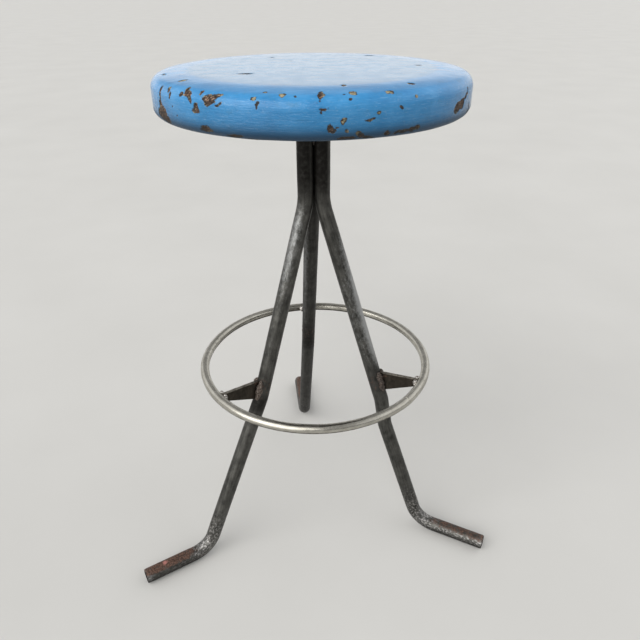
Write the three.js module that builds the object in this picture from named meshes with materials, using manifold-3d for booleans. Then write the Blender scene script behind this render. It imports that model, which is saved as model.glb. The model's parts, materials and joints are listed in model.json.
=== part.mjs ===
// Bar stool with a round wooden seat, three bent steel tube legs and a ring footrest.
// Millimetres, +Z up, +Y towards the rear leg. The feet stand on z = 0.
import * as THREE from 'three';
import Module from 'manifold-3d';
import { mergeVertices } from 'three/addons/utils/BufferGeometryUtils.js';

const wasm = await Module();
wasm.setup();

// ---- Driving dimensions -------------------------------------------------

const seatHeight = 643;
const seatRadius = 175;
const seatThickness = 43;
const seatFlatRadius = 112;
const seatShoulderSlope = 10; // degrees, where the crowned top meets its rounded edge
const seatCrownPower = 3.5; // how late the crown starts to fall
const seatTopEdgeRadius = 13;
const seatBottomEdgeRadius = 10;

const tubeRadius = 10;
const tubeWall = 2;

const plateRadius = 62;
const plateThickness = 5;

const screwCircleRadius = 45;
const screwShankRadius = 2.5;
const screwHeadRadius = 5.5;
const screwHeadHeight = 3.5;
const screwLength = 30;
const screwTipLength = 6;
const screwHoleRadius = 3;

const ringOuterRadius = 160;
const ringBarRadius = 6;
const ringHeight = 260;
const ringJointAzimuth = 313;
const ringJointWidth = 3;

const gussetThickness = 5;
const gussetLegTop = 262;
const gussetLegBottom = 236;
const gussetRingTop = 264;
const gussetRingBottom = 254.5;

const bundleBendHeight = 490;
const bundleBendRadius = 80;
const kinkRadius = 45;
const heelRadius = 35;

// Each leg is bent by hand, so the three differ a little. A kink is a slight bend at a
// radius and height, the heel is where the leg's line meets the foot's, and the foot
// turns aside by a few degrees from the leg's own upright plane.
const legs = [
  { name: 'left', azimuth: 210, kinks: [[92, 233]], heel: 195, footLength: 93, footTurn: -5 },
  { name: 'right', azimuth: 330, kinks: [[100, 217], [107, 176]], heel: 167,
    footLength: 100, footTurn: -4 },
  { name: 'rear', azimuth: 90, kinks: [[98, 230]], heel: 197, footLength: 103, footTurn: 0 },
];

const gap = 0.3; // clearance between pieces that touch
const mergeDistance = 1e-3; // vertices closer than this are one vertex

const tubeSides = 20;
const boreSides = 10;
const beadRadius = 3.2;
const beadSides = 10;

// ---- Places worked out from the dimensions ------------------------------

const degree = Math.PI / 180;
const seatUnderside = seatHeight - seatThickness;
const plateTop = seatUnderside - gap;
const plateBottom = plateTop - plateThickness;
const legTop = plateBottom - gap;
const bundleRadius = (2 * tubeRadius + gap) / Math.sqrt(3); // axis of each tube in the bundle
const ringRadius = ringOuterRadius - ringBarRadius;
const tubeReach = tubeRadius + gap; // a tube with its clearance
const beadOffset = gussetThickness / 2 + 1; // from a gusset's middle to a bead's axis
const beadSigns = [['a', 1], ['b', -1]];

// ---- Colours ------------------------------------------------------------

const bluePaint = { color: 0x4a7f9e, roughness: 0.3, metalness: 0 };
const rawSteel = { color: 0x3a3936, roughness: 0.5, metalness: 0.85 };
const brightSteel = { color: 0xa9a59c, roughness: 0.3, metalness: 1 };
const rustySteel = { color: 0x4b3a30, roughness: 0.7, metalness: 0.6 };
const screwSteel = { color: 0x8c8a84, roughness: 0.4, metalness: 0.9 };

// ---- Tools --------------------------------------------------------------

function meshOf(name, geometry, finish) {
  const mesh = new THREE.Mesh(geometry, new THREE.MeshStandardMaterial(finish));
  mesh.name = name;
  return mesh;
}

// A closed geometry as a solid that can be cut and joined.
function solidOf(geometry) {
  const bare = geometry.clone();
  bare.deleteAttribute('normal');
  bare.deleteAttribute('uv');
  const merged = mergeVertices(bare, mergeDistance);
  const corners = merged.index.array;
  const triangles = [];
  for (let i = 0; i < corners.length; i += 3) {
    const [a, b, c] = [corners[i], corners[i + 1], corners[i + 2]];
    if (a !== b && b !== c && c !== a) triangles.push(a, b, c);
  }
  return new wasm.Manifold(new wasm.Mesh({
    numProp: 3,
    vertProperties: new Float32Array(merged.attributes.position.array),
    triVerts: new Uint32Array(triangles),
  }));
}

function geometryOf(solid) {
  const mesh = solid.getMesh();
  const geometry = new THREE.BufferGeometry();
  geometry.setAttribute('position', new THREE.BufferAttribute(mesh.vertProperties, 3));
  geometry.setIndex(new THREE.BufferAttribute(mesh.triVerts, 1));
  geometry.computeVertexNormals();
  return geometry;
}

function cut(geometry, ...tools) {
  let solid = solidOf(geometry);
  for (const tool of tools) solid = solid.subtract(solidOf(tool));
  return geometryOf(solid);
}

// Centreline of a bent bar: straight runs joined by round bends. It is sampled only at
// the ends of each run and along each bend.
class BentPath extends THREE.Curve {
  constructor(corners, bendRadii, bendSteps) {
    super();
    this.stations = [];
    const runs = corners.slice(1).map((corner, i) => corner.clone().sub(corners[i]).normalize());
    this.addStation(corners[0], runs[0]);
    for (let i = 1; i < corners.length - 1; i++) {
      this.addBend(corners[i], runs[i - 1], runs[i], bendRadii[i - 1], bendSteps[i - 1]);
    }
    this.addStation(corners.at(-1), runs.at(-1));
  }

  addStation(point, tangent) {
    this.stations.push({ point: point.clone(), tangent: tangent.clone() });
  }

  addBend(corner, before, after, radius, steps) {
    const turn = before.angleTo(after);
    const inward = after.clone().addScaledVector(before, -Math.cos(turn)).normalize();
    const start = corner.clone().addScaledVector(before, -radius * Math.tan(turn / 2));
    const centre = start.clone().addScaledVector(inward, radius);
    for (let step = 0; step <= steps; step++) {
      const angle = turn * step / steps;
      const tangent = before.clone().multiplyScalar(Math.cos(angle))
        .addScaledVector(inward, Math.sin(angle));
      const point = centre.clone().addScaledVector(before, radius * Math.sin(angle))
        .addScaledVector(inward, -radius * Math.cos(angle));
      this.addStation(point, tangent);
    }
  }

  get steps() {
    return this.stations.length - 1;
  }

  stationAt(share) {
    return this.stations[Math.round(share * this.steps)];
  }

  getPoint(share) {
    return this.stationAt(share).point.clone();
  }

  getPointAt(share) {
    return this.getPoint(share);
  }

  getTangentAt(share) {
    return this.stationAt(share).tangent.clone();
  }
}

function circlePoints(radius, sides) {
  const points = [];
  for (let i = 0; i < sides; i++) {
    const angle = 2 * Math.PI * i / sides;
    points.push(new THREE.Vector2(radius * Math.cos(angle), radius * Math.sin(angle)));
  }
  return points;
}

function roundBar(path, radius, sides) {
  const section = new THREE.Shape(circlePoints(radius, sides));
  return new THREE.ExtrudeGeometry(section, {
    steps: path.steps, extrudePath: path, bevelEnabled: false,
  });
}

function roundTube(path) {
  const section = new THREE.Shape(circlePoints(tubeRadius, tubeSides));
  section.holes.push(new THREE.Path(circlePoints(tubeRadius - tubeWall, boreSides).reverse()));
  return new THREE.ExtrudeGeometry(section, {
    steps: path.steps, extrudePath: path, bevelEnabled: false,
  });
}

function straightPath(start, end) {
  return new BentPath([start, end], [], []);
}

// Centreline of a level arc, with its angles in degrees.
class ArcPath extends THREE.Curve {
  constructor(centre, radius, startAngle, endAngle, steps) {
    super();
    Object.assign(this, { centre, radius, startAngle, endAngle, steps });
  }

  angleAt(share) {
    return (this.startAngle + (this.endAngle - this.startAngle) * share) * degree;
  }

  getPoint(share) {
    const angle = this.angleAt(share);
    return this.centre.clone().add(new THREE.Vector3(
      this.radius * Math.cos(angle), this.radius * Math.sin(angle), 0));
  }

  getPointAt(share) {
    return this.getPoint(share);
  }

  getTangentAt(share) {
    const angle = this.angleAt(share);
    return new THREE.Vector3(-Math.sin(angle), Math.cos(angle), 0);
  }
}

// A quarter-round or longer arc of lathe profile points.
function arcPoints(centreX, centreY, radius, startAngle, endAngle, steps) {
  const points = [];
  for (let i = 0; i <= steps; i++) {
    const angle = (startAngle + (endAngle - startAngle) * i / steps) * degree;
    points.push(new THREE.Vector2(
      centreX + radius * Math.cos(angle), centreY + radius * Math.sin(angle)));
  }
  return points;
}

function uprightCylinder(radius, bottom, top, sides) {
  return new THREE.CylinderGeometry(radius, radius, top - bottom, sides)
    .rotateX(90 * degree)
    .translate(0, 0, (bottom + top) / 2);
}

// ---- Seat ---------------------------------------------------------------

function screwPlaces() {
  return [30, 150, 270].map((azimuth) => new THREE.Vector2(
    screwCircleRadius * Math.cos(azimuth * degree),
    screwCircleRadius * Math.sin(azimuth * degree)));
}

// The top is flat in its middle, falls a little outwards and runs into its rounded edge.
function seatBoard() {
  const sides = 64;
  const edgeSteps = 5;
  const slope = seatShoulderSlope * degree;
  const shoulder = seatRadius - seatTopEdgeRadius * (1 - Math.sin(slope));
  const crown = Math.tan(slope) * (shoulder - seatFlatRadius) / seatCrownPower;
  const crownPoints = [0.8, 0.6, 0.4, 0].map((share) => new THREE.Vector2(
    seatFlatRadius + (shoulder - seatFlatRadius) * share,
    seatHeight - crown * share ** seatCrownPower));
  const topEdgeMiddle = seatHeight - crown - seatTopEdgeRadius * Math.cos(slope);
  const profile = [
    new THREE.Vector2(0, seatUnderside),
    ...arcPoints(seatRadius - seatBottomEdgeRadius, seatUnderside + seatBottomEdgeRadius,
      seatBottomEdgeRadius, -90, 0, edgeSteps),
    ...arcPoints(seatRadius - seatTopEdgeRadius, topEdgeMiddle,
      seatTopEdgeRadius, 0, 90 - seatShoulderSlope, edgeSteps),
    ...crownPoints,
    new THREE.Vector2(0, seatHeight),
  ];
  const board = new THREE.LatheGeometry(profile, sides).rotateX(90 * degree);
  const pilotTop = plateBottom + screwLength + 1;
  const pilotSides = 12;
  const pilots = screwPlaces().map(({ x, y }) => (
    uprightCylinder(screwHoleRadius, seatUnderside - 1, pilotTop, pilotSides).translate(x, y, 0)));
  return meshOf('seat_board', cut(board, ...pilots), bluePaint);
}

// ---- Plate and screws under the seat ------------------------------------

function mountPlate() {
  const outline = new THREE.Shape(circlePoints(plateRadius, 48));
  for (const { x, y } of screwPlaces()) {
    const hole = circlePoints(screwHoleRadius, 12).reverse();
    outline.holes.push(new THREE.Path(hole.map((point) => point.add(new THREE.Vector2(x, y)))));
  }
  const geometry = new THREE.ExtrudeGeometry(outline, {
    depth: plateThickness, bevelEnabled: false,
  });
  const plate = meshOf('mount_plate', geometry, rawSteel);
  plate.position.z = plateBottom;
  return plate;
}

// A pan-head wood screw, head down, its seat at height 0.
function screwGeometry() {
  const sides = 12;
  const headSteps = 3;
  const profile = [
    new THREE.Vector2(0, -screwHeadHeight),
    new THREE.Vector2(screwHeadRadius / 2, -screwHeadHeight),
    ...arcPoints(screwHeadRadius / 2, -screwHeadHeight / 2, screwHeadRadius / 2, -60, 0, headSteps),
    new THREE.Vector2(screwHeadRadius, 0),
    new THREE.Vector2(screwShankRadius, 0),
    new THREE.Vector2(screwShankRadius, screwLength - screwTipLength),
    new THREE.Vector2(0, screwLength),
  ];
  return new THREE.LatheGeometry(profile, sides).rotateX(90 * degree);
}

function seatScrews() {
  return screwPlaces().map(({ x, y }, i) => {
    const screw = meshOf(`seat_screw_${i + 1}`, screwGeometry(), screwSteel);
    screw.position.set(x, y, plateBottom - gap);
    return screw;
  });
}

// ---- Legs ---------------------------------------------------------------
// A leg's own frame has its axis line in the XZ plane, with X pointing outwards.

function legPath({ kinks, heel, footLength, footTurn }) {
  const heelPoint = new THREE.Vector3(heel, 0, tubeRadius);
  const footDirection = new THREE.Vector3(
    Math.cos(footTurn * degree), Math.sin(footTurn * degree), 0);
  const corners = [
    new THREE.Vector3(bundleRadius, 0, legTop),
    new THREE.Vector3(bundleRadius, 0, bundleBendHeight),
    ...kinks.map(([radius, height]) => new THREE.Vector3(radius, 0, height)),
    heelPoint,
    heelPoint.clone().addScaledVector(footDirection, footLength),
  ];
  const bendRadii = [bundleBendRadius, ...kinks.map(() => kinkRadius), heelRadius];
  const bendSteps = [4, ...kinks.map(() => 2), 7];
  return new BentPath(corners, bendRadii, bendSteps);
}

function legTube(leg) {
  return meshOf(`leg_${leg.name}`, roundTube(legPath(leg)), rawSteel);
}

// Radius of the leg's outer side at a height between the bundle bend and the first kink.
function legSurface({ kinks }, height) {
  const [[kinkOut, kinkHeight]] = kinks;
  const slope = (kinkOut - bundleRadius) / (bundleBendHeight - kinkHeight);
  const axis = kinkOut + (kinkHeight - height) * slope;
  return axis + tubeReach * Math.hypot(1, slope);
}

// ---- Gussets ------------------------------------------------------------

// The plate's outline in the leg's upright plane. Its outer end is hollowed to the bar.
// legSide moves the inner edge, and reach is the bar's radius with its clearance.
function gussetOutline(leg, legSide, reach) {
  const barAngle = (height) => 180 - Math.asin((height - ringHeight) / reach) / degree;
  return new THREE.Shape([
    new THREE.Vector2(legSurface(leg, gussetLegTop) + legSide, gussetLegTop),
    new THREE.Vector2(legSurface(leg, gussetLegBottom) + legSide, gussetLegBottom),
    ...arcPoints(ringRadius, ringHeight, reach,
      barAngle(gussetRingBottom), barAngle(gussetRingTop), 6),
  ]);
}

function standingPlate(outline, thickness) {
  return new THREE.ExtrudeGeometry(outline, { depth: thickness, bevelEnabled: false })
    .translate(0, 0, -thickness / 2)
    .rotateX(90 * degree);
}

function gusset(leg) {
  const outline = gussetOutline(leg, 0, ringBarRadius + gap);
  return meshOf(`gusset_${leg.name}`, standingPlate(outline, gussetThickness), rustySteel);
}

// ---- Footrest ring ------------------------------------------------------
// The bar's two ends face each other across the butt weld.

const ringCentre = new THREE.Vector3(0, 0, ringHeight);
const ringSides = 12;

function ringBar(startAngle, endAngle, radius, steps) {
  return roundBar(new ArcPath(ringCentre, ringRadius, startAngle, endAngle, steps), radius, ringSides);
}

function footrestRing() {
  const halfJoint = (ringJointWidth / 2 + gap) / ringRadius / degree;
  const geometry = ringBar(
    ringJointAzimuth + halfJoint, ringJointAzimuth + 360 - halfJoint, ringBarRadius, 72);
  return meshOf('footrest_ring', geometry, brightSteel);
}

function ringButtWeld() {
  const halfWeld = ringJointWidth / 2 / ringRadius / degree;
  const geometry = ringBar(
    ringJointAzimuth - halfWeld, ringJointAzimuth + halfWeld, ringBarRadius + gap, 1);
  return meshOf('ring_butt_weld', geometry, brightSteel);
}

// ---- Welds --------------------------------------------------------------
// A bead is a thin bar laid in the corner of a joint and cut back from both pieces.

// Beads where a gusset meets its leg, one on each side of the plate.
function gussetLegWelds(leg) {
  const endInset = 3;
  const top = gussetLegTop - endInset;
  const bottom = gussetLegBottom + endInset;
  const legTool = roundBar(legPath(leg), tubeReach, tubeSides);
  const plateTool = standingPlate(
    gussetOutline(leg, -2 * gap, ringBarRadius + gap), gussetThickness + 2 * gap);
  return beadSigns.map(([label, sign]) => {
    const side = sign * beadOffset;
    const path = straightPath(
      new THREE.Vector3(legSurface(leg, top) + gap, side, top),
      new THREE.Vector3(legSurface(leg, bottom) + gap, side, bottom));
    const bead = cut(roundBar(path, beadRadius, beadSides), legTool, plateTool);
    return meshOf(`weld_leg_${leg.name}_${label}`, bead, rustySteel);
  });
}

// Beads where a gusset meets the ring, one on each side of the plate.
function gussetRingWelds(leg) {
  const inner = ringRadius - ringBarRadius - 1;
  const ringTool = ringBar(-6, 6, ringBarRadius + gap, 6);
  const plateTool = standingPlate(
    gussetOutline(leg, 0, ringBarRadius), gussetThickness + 2 * gap);
  return beadSigns.map(([label, sign]) => {
    const side = sign * beadOffset;
    const path = straightPath(
      new THREE.Vector3(inner, side, gussetRingTop - 1),
      new THREE.Vector3(inner, side, gussetRingBottom + 2));
    const bead = cut(roundBar(path, beadRadius, beadSides), ringTool, plateTool);
    return meshOf(`weld_ring_${leg.name}_${label}`, bead, brightSteel);
  });
}

// A fillet round the outer side of a tube's top, under the plate.
function plateWeld(leg) {
  const tubeAxis = new THREE.Vector3(bundleRadius, 0, plateBottom - 1);
  const path = new ArcPath(tubeAxis, tubeRadius + 1, -100, 100, 12);
  const below = legTop - 2 * beadRadius;
  const tubeTool = uprightCylinder(tubeReach, below, plateTop, tubeSides)
    .translate(bundleRadius, 0, 0);
  const plateTool = uprightCylinder(plateRadius, plateBottom - gap, plateTop, beadSides);
  const bead = cut(roundBar(path, beadRadius, beadSides), tubeTool, plateTool);
  return meshOf(`weld_plate_${leg.name}`, bead, rustySteel);
}

// A short bead in the outer valley between two tubes of the bundle. The valley points
// along X here, with a tube 60 degrees to each side.
function seamWeld(name) {
  const top = plateBottom - 3 * beadRadius;
  const length = 24;
  const valley = bundleRadius * Math.cos(60 * degree);
  const path = straightPath(
    new THREE.Vector3(valley + beadRadius, 0, top),
    new THREE.Vector3(valley + beadRadius, 0, top - length));
  const tubeTools = [-1, 1].map((sign) => (
    uprightCylinder(tubeReach, top - length - 1, top + 1, tubeSides)
      .translate(valley, sign * bundleRadius * Math.sin(60 * degree), 0)));
  return meshOf(`weld_seam_${name}`,
    cut(roundBar(path, beadRadius, beadSides), ...tubeTools), rustySteel);
}

// ---- Assembly -----------------------------------------------------------

function turned(azimuth, meshes) {
  const group = new THREE.Group();
  group.rotation.z = azimuth * degree;
  return group.add(...meshes);
}

function legAssembly(leg) {
  return turned(leg.azimuth, [
    legTube(leg), gusset(leg), ...gussetLegWelds(leg), ...gussetRingWelds(leg), plateWeld(leg),
  ]);
}

const frame = new THREE.Group().add(
  seatBoard(),
  mountPlate(),
  ...seatScrews(),
  ...legs.map(legAssembly),
  footrestRing(),
  ringButtWeld(),
  turned(270, [seamWeld('front')]),
  turned(30, [seamWeld('right')]),
  turned(150, [seamWeld('left')]),
);

// The origin is under the middle of the stool's box, on the floor.
const box = new THREE.Box3().setFromObject(frame, true);
const middle = box.getCenter(new THREE.Vector3());
frame.position.set(-middle.x, -middle.y, -box.min.z);

export default new THREE.Group().add(frame);
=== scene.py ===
"""Bar stool: chipped blue seat on three bent steel tubes, with a round footrest.

Shapes are worked out in stool space: millimetres, the seat's axis at x = y = 0 and the
floor at z = 0. make_piece turns them into metres in the frame's own coordinates.
"""
import itertools
import json
import math

import bmesh
import bpy
import numpy as np
from mathutils import Matrix, Vector

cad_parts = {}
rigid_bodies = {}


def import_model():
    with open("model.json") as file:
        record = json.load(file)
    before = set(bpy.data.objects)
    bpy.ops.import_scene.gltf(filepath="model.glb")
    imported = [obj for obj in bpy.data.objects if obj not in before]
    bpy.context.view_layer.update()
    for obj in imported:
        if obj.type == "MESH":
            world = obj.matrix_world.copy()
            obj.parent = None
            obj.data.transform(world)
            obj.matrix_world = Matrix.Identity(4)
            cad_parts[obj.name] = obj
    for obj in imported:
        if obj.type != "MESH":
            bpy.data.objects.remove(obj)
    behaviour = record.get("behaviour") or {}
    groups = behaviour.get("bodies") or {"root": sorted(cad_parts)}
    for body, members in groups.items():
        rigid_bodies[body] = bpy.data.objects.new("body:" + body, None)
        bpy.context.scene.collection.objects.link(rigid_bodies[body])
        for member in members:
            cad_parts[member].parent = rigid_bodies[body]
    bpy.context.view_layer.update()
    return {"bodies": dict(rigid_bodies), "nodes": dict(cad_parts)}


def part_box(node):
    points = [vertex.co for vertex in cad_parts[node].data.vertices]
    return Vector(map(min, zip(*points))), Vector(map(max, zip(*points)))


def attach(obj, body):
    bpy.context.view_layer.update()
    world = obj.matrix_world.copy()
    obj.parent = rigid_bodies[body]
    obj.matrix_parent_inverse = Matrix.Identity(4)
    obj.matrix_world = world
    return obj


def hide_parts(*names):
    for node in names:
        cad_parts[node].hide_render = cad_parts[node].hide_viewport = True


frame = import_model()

MM = 0.001
BODY = next(iter(frame["bodies"]))

# ---- Places taken from the frame ----------------------------------------

SEAT_LOW, SEAT_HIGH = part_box("seat_board")
AXIS = Vector(((SEAT_LOW.x + SEAT_HIGH.x) / 2, (SEAT_LOW.y + SEAT_HIGH.y) / 2, 0))
SEAT_RADIUS = (SEAT_HIGH.x - SEAT_LOW.x) / 2 / MM
SEAT_TOP = SEAT_HIGH.z / MM
SEAT_UNDERSIDE = SEAT_LOW.z / MM
PLATE_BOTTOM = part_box("mount_plate")[0].z / MM
RING_LOW, RING_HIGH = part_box("footrest_ring")
RING_BAR_RADIUS = (RING_HIGH.z - RING_LOW.z) / 2 / MM
RING_HEIGHT = (RING_HIGH.z + RING_LOW.z) / 2 / MM

# ---- Sizes that the boxes don't give, in mm, with azimuths in degrees ---

SEAT_FLAT_RADIUS = 112
SEAT_SHOULDER_SLOPE = math.radians(10)  # where the crowned top meets its rounded edge
SEAT_CROWN_POWER = 3.5
SEAT_TOP_EDGE = 13
SEAT_BOTTOM_EDGE = 10
TUBE_RADIUS = 10
TUBE_WALL = 2
GAP = 0.3  # between pieces that touch
BUNDLE_RADIUS = (2 * TUBE_RADIUS + GAP) / math.sqrt(3)
BUNDLE_BEND_HEIGHT = 490
BUNDLE_BEND_RADIUS = 80
KINK_RADIUS = 45
HEEL_RADIUS = 35
RING_RADIUS = 154
RING_JOINT_AZIMUTH = 313
BRACKET_HEIGHT = 249  # middle of the joint between a bracket and its leg
UNDER_SEAT_STRIPE = 322  # azimuth of a stripe on the tubes under the seat that their painted shade leaves lighter, for the reflection that runs there
LEG_TOP = PLATE_BOTTOM - GAP
SKIN = 0.35  # how far inside the CAD's seat the finished one starts, to leave room for relief

# A leg's kinks are (radius, height) pairs. Its bright patches are where the dark scale has worn
# off, and they also paint the light stripes that fall along the tube: (height, half length,
# strength), strongest on the given worn and lit side, turned towards the light, and within the
# given width in degrees of it. The grime and shade entry is how much darker the whole leg is, heat
# how blue the metal is below the bracket, rust how red the foot is, shine how bright the silver
# flecks on the foot's ridge are, as worn metal and a painted highlight, mark how far from the
# foot's end a spot of pink paint lies, and weld the look of its bracket's weld.
LEGS = {
    "left": dict(azimuth=210, kinks=[(92, 233)], heel=195, foot=93, turn=-5, worn_and_lit_side=228,
                 worn_and_lit_width=56, grime_and_shade=0.0, heat=0.15, rust=1.0, shine=0.30, mark=28, weld="weld",
                 patches=[(480, 24, 0.2), (430, 44, 0.72), (320, 40, 0.25), (150, 70, 0.20)]),
    "right": dict(azimuth=330, kinks=[(100, 217), (107, 176)], heel=167, foot=100, turn=-4,
                  worn_and_lit_side=350, worn_and_lit_width=66, grime_and_shade=0.10, heat=1.0, rust=0.7, shine=0.8,
                  mark=0, weld="dark_weld",
                  patches=[(415, 36, 0.8), (330, 46, 1.6), (110, 60, 0.20)]),
    "rear": dict(azimuth=90, kinks=[(98, 230)], heel=197, foot=103, turn=0, worn_and_lit_side=215,
                 worn_and_lit_width=30, grime_and_shade=0.60, heat=0.4, rust=0.8, shine=0.3, mark=0, weld="weld",
                 patches=[(430, 60, 0.5), (340, 60, 0.6), (180, 60, 0.35)]),
}


# ---- Tools for shapes ---------------------------------------------------


class Noise:
    """A smooth random field: a lattice of random values with smooth steps between them."""

    def __init__(self, seed, size=24):
        self.size = size
        self.values = np.random.default_rng(seed).uniform(-1, 1, (size, size, size))

    def __call__(self, points, wavelength):
        place = points / np.asarray(wavelength, float)
        cell = np.floor(place).astype(int)
        step = place - cell
        step = step * step * (3 - 2 * step)
        total = np.zeros(len(points))
        for corner in itertools.product((0, 1), repeat=3):
            share = np.prod(np.where(corner, step, 1 - step), axis=1)
            index = (cell + corner) % self.size
            total += share * self.values[index[:, 0], index[:, 1], index[:, 2]]
        return total


def smooth_step(value, low, high):
    share = np.clip((value - low) / (high - low), 0, 1)
    return share * share * (3 - 2 * share)


def bump_at(value, centre, half_width):
    """1 at the centre, falling smoothly to 0 at twice the half width."""
    return 1 - smooth_step(np.abs(value - centre), 0.3 * half_width, 2 * half_width)


def direction(azimuth):
    return np.array([math.cos(math.radians(azimuth)), math.sin(math.radians(azimuth)), 0.0])


def degrees_past(azimuth, start):
    """How far an azimuth lies past another, from -180 to 180."""
    return (azimuth - start + 180) % 360 - 180


def turned(points, azimuth):
    """Points turned about the seat's axis."""
    cos, sin = direction(azimuth)[:2]
    turn = np.array([[cos, sin, 0], [-sin, cos, 0], [0, 0, 1]])
    return np.asarray(points, float) @ turn


def make_piece(name, nodes, look, points, faces, fields=None, sharp=None):
    """A mesh piece in stool space that stands for some CAD nodes.
    fields are numbers or vectors for each vertex, which its material reads by name."""
    mesh = bpy.data.meshes.new(name)
    placed = np.asarray(points) * MM + np.array(AXIS)
    mesh.from_pydata(placed.tolist(), [], [tuple(face) for face in faces])
    fields = dict(fields or {})
    fields.setdefault("spot", np.asarray(points))
    for key, values in fields.items():
        values = np.asarray(values, np.float32)
        kind = "FLOAT_VECTOR" if values.ndim == 2 else "FLOAT"
        layer = mesh.attributes.new(key, kind, "POINT")
        layer.data.foreach_set("vector" if values.ndim == 2 else "value", values.ravel())
    mesh.shade_smooth()
    if sharp:
        mesh.set_sharp_from_angle(angle=math.radians(sharp))
    mesh.materials.append(look)
    piece = bpy.data.objects.new(name, mesh)
    bpy.context.scene.collection.objects.link(piece)
    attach(piece, BODY)
    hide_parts(*nodes)
    return piece


def ring_faces(first, second):
    """Faces between two rings of vertices. The second has as many as the first, or half,
    or twice as many."""
    few, many, flip = (first, second, True) if len(first) <= len(second) else (second, first, False)
    faces = []
    for i in range(len(few)):
        here, beyond = few[i], few[(i + 1) % len(few)]
        if len(few) == len(many):
            cell = [(here, beyond, many[(i + 1) % len(many)], many[i])]
        else:
            left, middle, right = many[2 * i], many[2 * i + 1], many[(2 * i + 2) % len(many)]
            cell = [(here, middle, left), (here, beyond, middle), (beyond, right, middle)]
        faces += [face[::-1] for face in cell] if flip else cell
    return faces


def swept(stations, section):
    """Points of a bar: section(i) gives each station's outline as (side, up) offsets."""
    outlines = [section(i) for i in range(len(stations))]
    return np.array([centre + outline[:, :1] * side + outline[:, 1:] * up
                     for outline, (centre, side, up) in zip(outlines, stations)])


def round_angles(sides):
    return np.arange(sides) * 2 * math.pi / sides


def circle(radius, sides):
    """A ring of points. The radius is one number, or one for each point."""
    angles = round_angles(sides)
    return np.stack([radius * np.cos(angles), radius * np.sin(angles)], axis=1)


def raised_circle(radius, sides, height):
    return np.column_stack([circle(radius, sides), np.full(sides, height)])


def band_faces(rows):
    """Faces between each ring of vertices and the next."""
    return [face for first, second in zip(rows, rows[1:]) for face in ring_faces(first, second)]


def bent_path(corners, radii, step):
    """Points and tangents along straight runs joined by round bends, about a step apart."""
    corners = [np.asarray(corner, float) for corner in corners]
    runs = [(end - start) / np.linalg.norm(end - start) for start, end in zip(corners, corners[1:])]
    points, tangents = [], []

    def add(point, tangent):
        points.append(point)
        tangents.append(tangent)

    def add_run(end, tangent):
        start = points[-1]
        count = max(1, round(np.linalg.norm(end - start) / step))
        for i in range(1, count + 1):
            add(start + (end - start) * i / count, tangent)

    add(corners[0], runs[0])
    for corner, radius, before, after in zip(corners[1:-1], radii, runs, runs[1:]):
        turn = math.acos(float(np.clip(before @ after, -1, 1)))
        inward = after - before * math.cos(turn)
        inward /= np.linalg.norm(inward)
        start = corner - before * radius * math.tan(turn / 2)
        centre = start + inward * radius
        add_run(start, before)
        count = max(2, round(radius * turn / step))
        for i in range(1, count + 1):
            angle = turn * i / count
            add(centre + before * radius * math.sin(angle) - inward * radius * math.cos(angle),
                before * math.cos(angle) + inward * math.sin(angle))
    add_run(corners[-1], runs[-1])
    return np.array(points), np.array(tangents)


def carried_frames(points, tangents, side):
    """Stations (centre, side, up) whose side vector is carried along without twist."""
    stations = []
    for point, tangent in zip(points, tangents):
        side = side - tangent * (side @ tangent)
        side = side / np.linalg.norm(side)
        stations.append((point, side, np.cross(tangent, side)))
    return stations


def lengths_along(points):
    return np.concatenate([[0], np.cumsum(np.linalg.norm(np.diff(points, axis=0), axis=1))])


# ---- Tools for looks ----------------------------------------------------


class Nodes:
    """A node tree, built by short calls that each add a node and return its output.
    Wavelengths are in mm, read against the piece's spot field."""

    def __init__(self, tree):
        self.tree = tree

    def add(self, kind, inputs=None, **settings):
        node = self.tree.nodes.new("ShaderNode" + kind)
        for key, value in settings.items():
            setattr(node, key, value)
        for key, value in (inputs or {}).items():
            self.plug(value, node.inputs[key])
        return node

    def plug(self, value, socket):
        """Links an output to a socket, or sets the socket to a number, vector or colour."""
        if isinstance(value, bpy.types.NodeSocket):
            self.tree.links.new(value, socket)
        elif socket.type == "RGBA":
            socket.default_value = (*value, 1)
        else:
            socket.default_value = value

    def field(self, name):
        return self.add("Attribute", attribute_name=name).outputs["Fac"]

    def noise(self, wavelength, detail=3.0, roughness=0.55, distortion=0.0):
        waves = wavelength if isinstance(wavelength, tuple) else (wavelength,) * 3
        spot = self.add("Attribute", attribute_name="spot").outputs["Vector"]
        scaled = self.add("VectorMath", {0: spot, 1: tuple(1 / wave for wave in waves)},
                          operation="MULTIPLY").outputs[0]
        return self.add("TexNoise", {"Vector": scaled, "Scale": 1.0, "Detail": detail,
                                     "Roughness": roughness, "Distortion": distortion}).outputs[0]

    def math(self, operation, first, second=0.0, clamp=False):
        return self.add("Math", {0: first, 1: second}, operation=operation,
                        use_clamp=clamp).outputs[0]

    def plus(self, first, second):
        return self.math("ADD", first, second)

    def times(self, first, second):
        return self.math("MULTIPLY", first, second)

    def weighed(self, *parts):
        """The sum of some values, each times its own weight."""
        total = self.times(*parts[0])
        for value, weight in parts[1:]:
            total = self.plus(total, self.times(value, weight))
        return total

    def step(self, value, low, high, start=0.0, end=1.0):
        """A smooth change from start to end as the value goes from low to high."""
        return self.add("MapRange", {"Value": value, "From Min": low, "From Max": high,
                                     "To Min": start, "To Max": end},
                        interpolation_type="SMOOTHSTEP").outputs["Result"]

    def mix(self, share, first, second):
        """Two colours mixed: all of the second where the share is 1."""
        return self.add("Mix", {0: share, 6: first, 7: second}, data_type="RGBA").outputs[2]

    def blend(self, share, first, second):
        """The same as mix, for numbers."""
        return self.add("Mix", {0: share, 2: first, 3: second}, data_type="FLOAT").outputs[0]

    def ramp(self, value, *stops):
        node = self.add("ValToRGB", {"Fac": value})
        elements = node.color_ramp.elements
        while len(elements) < len(stops):
            elements.new(1.0)
        for element, (position, colour) in zip(elements, stops):
            element.position = position
            element.color = (*colour, 1)
        return node.outputs[0]


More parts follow.
